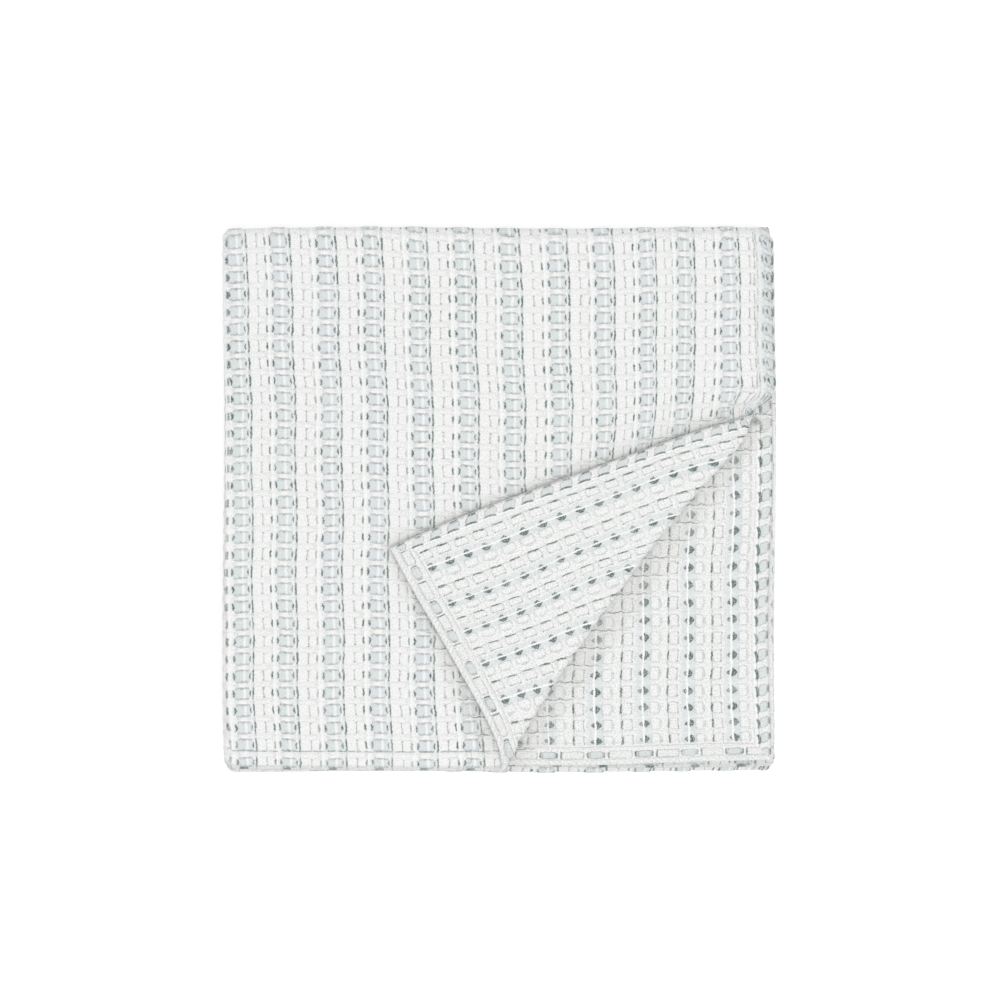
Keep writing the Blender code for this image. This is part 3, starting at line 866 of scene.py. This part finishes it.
def new_material(name, looks):
    """A material and its shader, whose sockets are set by their names."""
    material = bpy.data.materials.new(name)
    material.use_nodes = True
    shader = material.node_tree.nodes["Principled BSDF"]
    for socket, value in looks.items():
        shader.inputs[socket].default_value = value
    return material, shader


def cotton(name, pattern, turned, mottled):
    """Woven cotton: the yarns' colours laid out on the weave's coordinates, with a soft yarn surface.
    turned is -1 where the columns are seen from behind, and mottled how uneven the white yarn is."""
    looks = {"Roughness": 0.92, "Specular IOR Level": 0.2, "Sheen Weight": 0.15, "Sheen Roughness": 0.6}
    material, shader = new_material(name, looks)
    start = Wire(material.node_tree)
    weave = start.node("ShaderNodeUVMap", {"uv_map": "weave"})
    flat = start.node("ShaderNodeUVMap", {"uv_map": "flat"})
    painted_shade = start.node("ShaderNodeAttribute", {"attribute_name": "painted_shade"}, output=2)
    pairs, rows, u, v = weave.part(0), weave.part(1), flat.part(0) / MM, flat.part(1) / MM
    slow, fast = flat.noise(SLOW_SWAY, output=1), flat.noise(FAST_SWAY, output=1)
    sway_x, sway_y = (
        (slow.part(axis) - 0.5) * far + (fast.part(axis) - 0.5) * little
        for axis, (far, little) in enumerate(STRAYS)
    )
    cell = start.node("ShaderNodeCombineXYZ", None, {0: (pairs * 2).rounded(), 1: rows.rounded()})
    random = start.node("ShaderNodeTexWhiteNoise", {"noise_dimensions": "2D"}, {"Vector": cell})
    patchy, speckle = flat.noise(PATCHES), flat.noise(SPECKLE)
    whites = {0: flat.noise(MOTTLE).smooth(0.4, 0.7) * mottled, 6: WHITE_YARN, 7: SHADE_GREY}
    at = Place(
        x=(pairs * turned).from_middle() * (PAIR / MM) + sway_x,
        y=rows.from_middle() * (ROW / MM) + sway_y,
        u=u,
        v=v,
        from_side=u.least(ACROSS.length / MM - u),
        from_front=v.least(ALONG.length / MM - v),
        sway_x=sway_x,
        sway_y=sway_y,
        lively=(0.78 + 0.45 * random) * (0.53 + patchy),
        patchy=patchy,
        white=start.node("ShaderNodeMix", {"data_type": "RGBA"}, whites, output=2),
        other_pair=(pairs.rounded() / 2).fraction() * 2,
    )
    colour = shaded(pattern(at), at, painted_shade)
    yarns_along = (at.x / YARN_PITCH).fraction().near(0.5, YARN_HALF, 0.2)
    yarns_across = (at.y / YARN_PITCH).fraction().near(0.5, YARN_HALF, 0.2)
    yarns = yarns_across + (yarns_along - yarns_across) * abs(at.y).smooth(4.2, 4.9)
    # Painted shade in the gaps between the single yarns, in patches
    colour = colour.tint(SHADE_GREY, (1 - yarns) * (0.1 + 0.42 * patchy) * speckle.smooth(0.3, 0.7))
    colour = colour.tint(BRIGHT_YARN, speckle.smooth(0.5, 0.7) * 0.6)
    height = yarns * 0.6 + flat.noise(FLUFF) * 0.8
    bump = start.node("ShaderNodeBump", None, {"Strength": 0.4, "Distance": 0.4 * MM, "Height": height})
    material.node_tree.links.new(colour.socket, shader.inputs["Base Color"])
    material.node_tree.links.new(bump.socket, shader.inputs["Normal"])
    return material


front_cotton = cotton("waffle_front", front_pattern, turned=-1, mottled=0.27)
reverse_cotton = cotton("waffle_reverse", reverse_pattern, turned=1, mottled=0.42)

# Where the pieces of the cloth meet: all of these places are hidden in or under the stack
LEFT_FOLDS = (372 * MM, 426 * MM)
RIGHT_FOLDS = (783 * MM, 820 * MM)
FRONT_FOLD = (785 * MM, 832 * MM)
BACK_WALL_END = 430 * MM
SECOND_FROM = 1300 * MM
SECOND_TO = 300 * MM
# How far apart the grid lines are at most: where nothing shows, and at the folds
HIDDEN = 14 * MM
FOLDS = 6 * MM

make_cloth(
    "blanket_lower_layers",
    [
        patch(*LEFT_FOLDS, BACK_WALL_END, ALONG.length, FOLDS, front_cuts=3),
        patch(*RIGHT_FOLDS, 0, ALONG.length, FOLDS, front_cuts=3),
        patch(0, LEFT_FOLDS[0], *FRONT_FOLD, FOLDS, front_cuts=3),
        patch(0, LEFT_FOLDS[0], FRONT_FOLD[1], ALONG.length, HIDDEN),
        patch(LEFT_FOLDS[1], RIGHT_FOLDS[0], 0, ALONG.length, HIDDEN),
        patch(RIGHT_FOLDS[1], SECOND_FROM, 0, ALONG.length, HIDDEN),
        patch(SECOND_FROM, ACROSS.length, SECOND_TO, ALONG.length, HIDDEN),
    ],
    in_stack,
)

# ---- The underside ----
# The lowest layer up to its folds, of the same cotton. The blanket lies on it, so that its front is down
# and only its rim shows.

make_cloth(
    "blanket_underside",
    [patch(0, LEFT_FOLDS[0], BACK_WALL_END, FRONT_FOLD[0], FOLDS, front_cuts=3)],
    in_stack,
)

# ---- The second layer ----
# The layer under the turned corner, of the same cotton, with its reverse up: dark dots in pairs, and its
# two hems turned over to the side that shows.

# How far apart the grid lines are at most where the weave shows best
FINE = 5.5 * MM

make_cloth(
    "blanket_second_layer",
    [patch(SECOND_FROM, ACROSS.length, 0, SECOND_TO, FINE, reverse_cuts=4)],
    in_stack,
)

# ---- The top layer ----
# The cloth's front, from its right hem over the left fold and over the rounded fold at the back. Its hem
# is drawn in where the corner is turned back.

# From and to across the cloth, and then along it, with the left and back folds
TOP_LAYER = (0, LEFT_FOLDS[1], 0, BACK_WALL_END)
TURN_UP_SIDE = 259 * MM
TURN_ALONG_FRONT = 202 * MM
FOLD_BOW = 12 * MM
FOLD_BOW_LEAN = 0.75
FOLD_BOW_REACH = 60 * MM
HEM_PULL = 16 * MM
HEM_PULL_BELOW = 3 * MM
HEM_PULL_ACROSS = 20 * MM
HEM_PULL_FRONT = 22 * MM
HEM_PULL_BACK = 9 * MM
HEM_LIFT = 1.1 * MM
HEM_LIFT_REACH = 30 * MM
SCALLOP = 0.7 * MM
SCALLOP_OVER = 9 * MM
TURN_SEAM = 20 * MM

CORNER = np.array((ACROSS.ends[0], ALONG.ends[0]))
FOLD_BACK = CORNER + (0, TURN_UP_SIDE)
FOLD_FRONT = CORNER - (TURN_ALONG_FRONT, 0)
FOLD_LENGTH = np.linalg.norm(FOLD_FRONT - FOLD_BACK)
FOLD_ALONG = (FOLD_FRONT - FOLD_BACK) / FOLD_LENGTH
FOLD_OUT = np.array((-FOLD_ALONG[1], FOLD_ALONG[0]))


def fold_places(x, y):
    """Places from the back end of the fold: as they are, along the fold and beyond it."""
    from_fold = np.column_stack((x, y)) - FOLD_BACK
    return from_fold, from_fold @ FOLD_ALONG, from_fold @ FOLD_OUT


def drawn_in(x, y):
    """The fold of the turned corner is bowed, and its hem is drawn in where it is folded."""
    from_fold, along, beyond = fold_places(x, y)
    share = np.clip(along / FOLD_LENGTH, 0, 1) ** FOLD_BOW_LEAN
    close = np.exp(-((beyond / FOLD_BOW_REACH) ** 2))
    bow = 4 * share * (1 - share) * close * FOLD_BOW
    above = from_fold[:, 1] + HEM_PULL_BELOW
    above = above / np.where(above > 0, HEM_PULL_BACK, HEM_PULL_FRONT)
    pull = HEM_PULL * np.exp(-((from_fold[:, 0] / HEM_PULL_ACROSS) ** 2) - above**2)
    return x - bow * FOLD_OUT[0] - pull, y - bow * FOLD_OUT[1]


def hem_lift(u, v):
    """The hems of the top layer stand a little off the layer below."""
    from_hem = np.minimum(u, v) - HEM_WIDTH
    return HEM_LIFT * shown(u, v) * (1 - ease(from_hem / HEM_LIFT_REACH))


def scalloped(u, v):
    """The rows stand out a little along the side hem, between the ones that are drawn in."""
    rows = weave_at(u, v)[1]
    return SCALLOP * np.cos(2 * math.pi * rows) * (1 - ease(u / SCALLOP_OVER))


def on_top(u, v, out):
    x, from_packet = ACROSS.place(u, out)
    y, height = ALONG.place(v, from_packet)
    flat = (u < ACROSS.starts[1]) & (v < ALONG.starts[1])
    drawn_x, drawn_y = drawn_in(x, y)
    x = np.where(flat, drawn_x + hem_reach(u, SIDE_HEM_REACH) + scalloped(u, v), x)
    y = np.where(flat, drawn_y - hem_reach(v, FRONT_HEM_REACH), y)
    height = height + np.where(flat, hem_lift(u, v), 0)
    return uneven(x, y, height + STACK_HALF, u, v)


def beyond_fold(u, v):
    """How far a place on the cloth lies beyond the line on which the corner is turned back."""
    place = np.stack((ACROSS.ends[0] - u, ALONG.ends[0] + v), axis=-1)
    return (place - FOLD_BACK) @ FOLD_OUT


def rolled_share(u, v):
    """A step from 0 on the top layer to 1 where its corner starts to roll over."""
    return ease(beyond_fold(u, v) / TURN_SEAM + 1)


def in_turned_corner(us, vs):
    u, v = np.meshgrid((us[:-1] + us[1:]) / 2, (vs[:-1] + vs[1:]) / 2, indexing="ij")
    return beyond_fold(u, v) > -TURN_SEAM


make_cloth(
    "blanket_top_layer",
    [patch(*TOP_LAYER, FINE, front_cuts=4, keep=lambda us, vs: ~in_turned_corner(us, vs))],
    on_top,
)

# ---- The turned corner ----
# The right front corner of the top layer, rolled over and laid back on it with its reverse and its hems
# up. The cloth is pulled into pleats that fan out from where its hem is folded.

TURN_RADIUS = 3.4 * MM
PINCHED_RADIUS = 2.2 * MM
PINCH_OVER = 80 * MM
TURN_REST = 5.2 * MM
TURN_EASE = 45 * MM
TIP_LEFT = 279.5 * MM
TIP_BACK = 159.5 * MM
TOP_EDGE_BOW = 7.5 * MM
TOP_EDGE_BOW_LEAN = 1.2
FRONT_EDGE_BOW = 8.5 * MM
FRONT_EDGE_BOW_LEAN = 0.12
FRONT_EDGE_BOW_FADE = 1.2
TURN_LENGTH = math.pi * TURN_RADIUS
TIP = CORNER + (-TIP_LEFT, TIP_BACK)
CORNER_OUT = (CORNER - FOLD_BACK) @ FOLD_OUT
CORNER_ALONG = (CORNER - FOLD_BACK) @ FOLD_ALONG

# The turned corner is gathered: its side hem is squeezed together, and its cloth is drawn along the fold
# towards where the hem is folded. Its hems curl up a little.
HEM_SQUEEZE = 3 * MM
HEM_SQUEEZE_OVER = 17 * MM
HEM_SQUEEZE_FADES = (60 * MM, 210 * MM)
GATHER = 5.5 * MM
GATHER_AT_HEM = 0.3
GATHER_FROM = 40 * MM
GATHER_FADES = (100 * MM, 230 * MM)
CURL = 1.8 * MM
CURL_OVER = 26 * MM
CURL_WAVE = Wave(0.35, 95 * MM, 0.1)

Pleat = namedtuple("Pleat", "share width height")
PLEATS = (
    Pleat(0.27, 0.11, 2.4 * MM),
    Pleat(0.55, 0.10, 2.0 * MM),
    Pleat(0.82, 0.08, 1.4 * MM),
)
PLEAT_START = 20 * MM
PLEAT_END = 260 * MM


def angle_from_fold(way):
    return np.abs(np.arctan2(way @ FOLD_OUT, way @ FOLD_ALONG))


def pleat_height(laid):
    """The soft pleats that fan out over the turned corner."""
    way = laid - FOLD_BACK
    length = np.linalg.norm(way, axis=1)
    share = 1 - angle_from_fold(way) / angle_from_fold(TIP - FOLD_BACK)
    along = ease(length / PLEAT_START) * (1 - ease(length / PLEAT_END))
    return sum(p.height * along * np.exp(-(((share - p.share) / p.width) ** 2)) for p in PLEATS)


def fades(way, limits):
    return 1 - ease((way - limits[0]) / (limits[1] - limits[0]))


def curl(u, v):
    """How far the turned corner's hems curl up."""
    wavy = 1 + wave(CURL_WAVE, u + v)
    return CURL * wavy * (1 - ease(np.minimum(u, v) / CURL_OVER))


def bowed(bow, start):
    """Bows the turned corner's edge from start to its tip, towards the right on the way there."""
    edge = (TIP - start) / np.linalg.norm(TIP - start)
    return np.outer(bow, (edge[1], -edge[0]))


def turned_over(u, v, out):
    """Rolls the top layer over the line of the fold and lays its corner back."""
    turning = rolled_share(u, v)
    squeeze = HEM_SQUEEZE * ease(u / HEM_SQUEEZE_OVER) * fades(u, HEM_SQUEEZE_FADES) * turning
    reach = 1 - ease(beyond_fold(u, v) / TURN_SEAM)
    flat_x, from_packet = ACROSS.place(u - squeeze, out)
    flat_y, _ = ALONG.place(v, from_packet)
    _, along, beyond = fold_places(flat_x, flat_y)
    radius = mix(PINCHED_RADIUS, TURN_RADIUS, ease(along / PINCH_OVER))
    foot = FOLD_BACK + np.outer(along, FOLD_ALONG)
    angle = np.clip(beyond / radius, 0, math.pi)
    inner = radius - out
    rolled = foot + np.outer(inner * np.sin(angle), FOLD_OUT)
    rolled_height = radius - inner * np.cos(angle)
    back = np.maximum(beyond - math.pi * radius, 0)
    share = np.maximum(0, back / (CORNER_OUT - TURN_LENGTH))
    flat_tip = FOLD_BACK + CORNER_ALONG * FOLD_ALONG - (CORNER_OUT - TURN_LENGTH) * FOLD_OUT
    laid = foot - np.outer(back, FOLD_OUT) + np.outer(share, TIP - flat_tip)
    to_front = (along - share * CORNER_ALONG) / FOLD_LENGTH
    to_back = 1 - share - to_front
    top_bow = 4 * np.maximum(0, to_back) * share**TOP_EDGE_BOW_LEAN * TOP_EDGE_BOW
    lean = share / (share + FRONT_EDGE_BOW_LEAN) * (1 + FRONT_EDGE_BOW_LEAN)
    front_bow = np.maximum(0, to_front) ** FRONT_EDGE_BOW_FADE * lean * FRONT_EDGE_BOW
    laid = laid + bowed(top_bow, FOLD_BACK) + bowed(front_bow, FOLD_FRONT)
    settled = ease(back / TURN_EASE)
    rest = mix(2 * radius, TURN_REST + pleat_height(laid), settled) + curl(u, v) * settled
    level = ALONG.runs[0].level * PACKET_PITCH + ACROSS.runs[0].level * LAYER_PITCH
    place = np.column_stack((flat_x, flat_y))
    is_rolled, is_laid = (beyond > 0)[:, None], (beyond >= math.pi * radius)[:, None]
    place = np.where(is_laid, laid, np.where(is_rolled, rolled, place))
    to_hem = np.arctan2(np.maximum(beyond, 0), np.maximum(along, MM)) / math.atan2(CORNER_OUT, CORNER_ALONG)
    gather = GATHER * mix(1, GATHER_AT_HEM, np.minimum(to_hem, 1)) * turning
    gather = gather * ease(along / GATHER_FROM) * fades(along, GATHER_FADES)
    place = place - np.outer(gather, FOLD_ALONG)
    above = np.where(is_laid[:, 0], rest - out, np.where(is_rolled[:, 0], rolled_height, out))
    x, y = drawn_in(place[:, 0], place[:, 1])
    x = x + (hem_reach(u, SIDE_HEM_REACH) + scalloped(u, v)) * reach
    y = y - hem_reach(v, FRONT_HEM_REACH) * reach
    return uneven(x, y, level + above + hem_lift(u, v) + STACK_HALF, u, v)


make_cloth(
    "blanket_turned_corner",
    [patch(*TOP_LAYER, FINE, front_cuts=4, reverse_cuts=4, keep=in_turned_corner)],
    turned_over,
    lies_under=lambda u, v: 1 - rolled_share(u, v),
)

# ---- The hem stitches ----
# White cotton thread, sewn through the turned-over hems of the two top layers in short stitches that show
# on both faces of the cloth.

STITCH_PITCH = 4.2 * MM
STITCH_LENGTH = 3.4 * MM
STITCH_THICKNESS = 0.6 * MM
STITCH_SEED = 7
STITCH_STEP = 1 * MM
STITCH_SINK = 0.1 * MM
SHORTEST_STITCH = 0.85
LONGEST_STITCH = 1.1
THREAD_WHITE = (0.88, 0.885, 0.875, 1)

thread_looks = {"Base Color": THREAD_WHITE, "Roughness": 0.7, "Specular IOR Level": 0.3}
thread, _ = new_material("stitch_thread", thread_looks)


def stitch_tree():
    """Lays stitches along a line: short capsules of thread, each turned along it."""
    tree = bpy.data.node_groups.new("hem_stitches", "GeometryNodeTree")
    kinds = {"Seam": "Geometry", "Pitch": "Float", "Length": "Float", "Thickness": "Float", "Seed": "Int"}
    for name, kind in kinds.items():
        tree.interface.new_socket(name, in_out="INPUT", socket_type="NodeSocket" + kind)
    tree.interface.new_socket("Stitches", in_out="OUTPUT", socket_type="NodeSocketGeometry")
    start = Wire(tree)
    inputs = tree.nodes.new("NodeGroupInput")
    seam, pitch, length, thickness, seed = (Wire(tree, inputs.outputs[i]) for i in range(5))
    line = start.node("GeometryNodeMeshToCurve", None, {0: seam})
    line = start.node("GeometryNodeResampleCurve", {"mode": "LENGTH"}, {"Curve": line, "Length": pitch})
    tangent = start.node("GeometryNodeInputTangent")
    turned = start.node("FunctionNodeAlignRotationToVector", {"axis": "X"}, {"Vector": tangent})
    ball = start.node("GeometryNodeMeshIcoSphere", None, {"Radius": 1, "Subdivisions": 2})
    ball = start.node("GeometryNodeSetShadeSmooth", None, {0: ball})
    lengths = {2: SHORTEST_STITCH, 3: LONGEST_STITCH, 8: seed}
    random = start.node("FunctionNodeRandomValue", {"data_type": "FLOAT"}, lengths, output=1)
    half = thickness / 2
    size = start.node("ShaderNodeCombineXYZ", None, {0: length / 2 * random, 1: half, 2: half})
    sockets = {"Points": line, "Instance": ball, "Rotation": turned, "Scale": size}
    sewn = start.node("GeometryNodeInstanceOnPoints", None, sockets)
    sewn = start.node("GeometryNodeRealizeInstances", None, {0: sewn})
    sewn = start.node("GeometryNodeSetMaterial", None, {"Geometry": sewn, "Material": thread})
    tree.links.new(sewn.socket, tree.nodes.new("NodeGroupOutput").inputs[0])
    return tree


def seam_lines():
    """Lines of points along the hems, on both faces of the cloth."""
    side_us, side_vs = SEAM_LINE, np.arange(SEAM_LINE, ALONG.starts[1], STITCH_STEP)
    front_us, front_vs = np.arange(SEAM_LINE, ACROSS.starts[1], STITCH_STEP), SEAM_LINE
    far_us = np.arange(ACROSS.starts[-2] + SEAM_LINE, ACROSS.length - SEAM_LINE, STITCH_STEP)
    far_vs = np.arange(SEAM_LINE, SECOND_TO, STITCH_STEP)
    hems = (
        (side_us, side_vs, True),
        (front_us, front_vs, True),
        (far_us, SEAM_LINE, False),
        (ACROSS.length - SEAM_LINE, far_vs, False),
    )
    for us, vs, is_top in hems:
        us, vs = (line.ravel() for line in np.broadcast_arrays(us, vs))
        for face, side in ((front_face, 1), (reverse_face, -1)):
            out = face(us, vs, True) - side * STITCH_SINK
            if not is_top:
                yield in_stack(us, vs, out)
                continue
            turned = (beyond_fold(us, vs) > -TURN_SEAM)[:, None]
            yield np.where(turned, turned_over(us, vs, out), on_top(us, vs, out))


points, edges = [], []
for seam_line in seam_lines():
    first = len(points)
    points.extend(seam_line.tolist())
    edges.extend((i, i + 1) for i in range(first, len(points) - 1))
seam_mesh = bpy.data.meshes.new("hem_seams")
seam_mesh.from_pydata(points, edges, [])
seams = add_object("hem_seams", seam_mesh)
sewing = seams.modifiers.new("hem_stitches", "NODES")
sewing.node_group = stitch_tree()
sizes = {"Pitch": STITCH_PITCH, "Length": STITCH_LENGTH, "Thickness": STITCH_THICKNESS, "Seed": STITCH_SEED}
for item in sewing.node_group.interface.items_tree:
    if item.name in sizes:
        sewing[item.identifier] = sizes[item.name]
evaluated = seams.evaluated_get(bpy.context.evaluated_depsgraph_get())
stitches = add_object("blanket_hem_stitches", bpy.data.meshes.new_from_object(evaluated))
seams.modifiers.remove(sewing)
bpy.data.objects.remove(seams)
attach(stitches, "root")

# ---- The floor, the lights and the camera ----
# A plain white floor under soft light from all around, seen from straight above as in the photograph.

FLOOR_HALF = 3
FLOOR_DROP = 0.5 * MM
ROOM_BRIGHTNESS = 0.615
CAMERA_PLACE = (0.00018, 0.00072, 4.055)
SENSOR_WIDTH = 36
LENS = 198.7
WHITE = (1, 1, 1, 1)
FLOOR_LOOKS = {
    "Base Color": (0.8, 0.8, 0.8, 1),
    "Roughness": 0.9,
    "Specular IOR Level": 0.1,
    "Emission Color": WHITE,
    "Emission Strength": 0.35,
}
# The soft lamps: where each stands in metres, how wide it is and its power in watts
Lamp = namedtuple("Lamp", "name place size watts")
LAMPS = (
    Lamp(name="soft_box", place=(0.25, -0.35, 2.4), size=1.3, watts=28),
    Lamp(name="fill_light", place=(-0.9, 1.1, 2.2), size=1.8, watts=6),
)

bpy.ops.mesh.primitive_plane_add(size=2 * FLOOR_HALF, location=(0, 0, -FLOOR_DROP))
floor = bpy.context.object
floor.name = "floor"
floor_white, _ = new_material("floor_white", FLOOR_LOOKS)
floor.data.materials.append(floor_white)
floor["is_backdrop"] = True

world = bpy.data.worlds.new("soft_room")
world.use_nodes = True
background = world.node_tree.nodes["Background"]
background.inputs["Color"].default_value = WHITE
background.inputs["Strength"].default_value = ROOM_BRIGHTNESS
bpy.context.scene.world = world

for lamp in LAMPS:
    light = bpy.data.lights.new(lamp.name, "AREA")
    light.size = lamp.size
    light.energy = lamp.watts
    holder = add_object(lamp.name, light)
    holder.location = lamp.place
    x, y, z = lamp.place
    holder.rotation_euler = (math.atan2(math.hypot(x, y), z), 0, math.atan2(y, x) + math.pi / 2)

camera_data = bpy.data.cameras.new("camera")
camera_data.sensor_width = SENSOR_WIDTH
camera_data.lens = LENS
camera = add_object("camera", camera_data)
camera.location = CAMERA_PLACE
bpy.context.scene.camera = camera
bpy.context.scene.view_settings.view_transform = "Standard"

boxes = {"cad": cad_box, "visual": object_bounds()}
{name: [list(map(float, corner)) for corner in box] for name, box in boxes.items()}
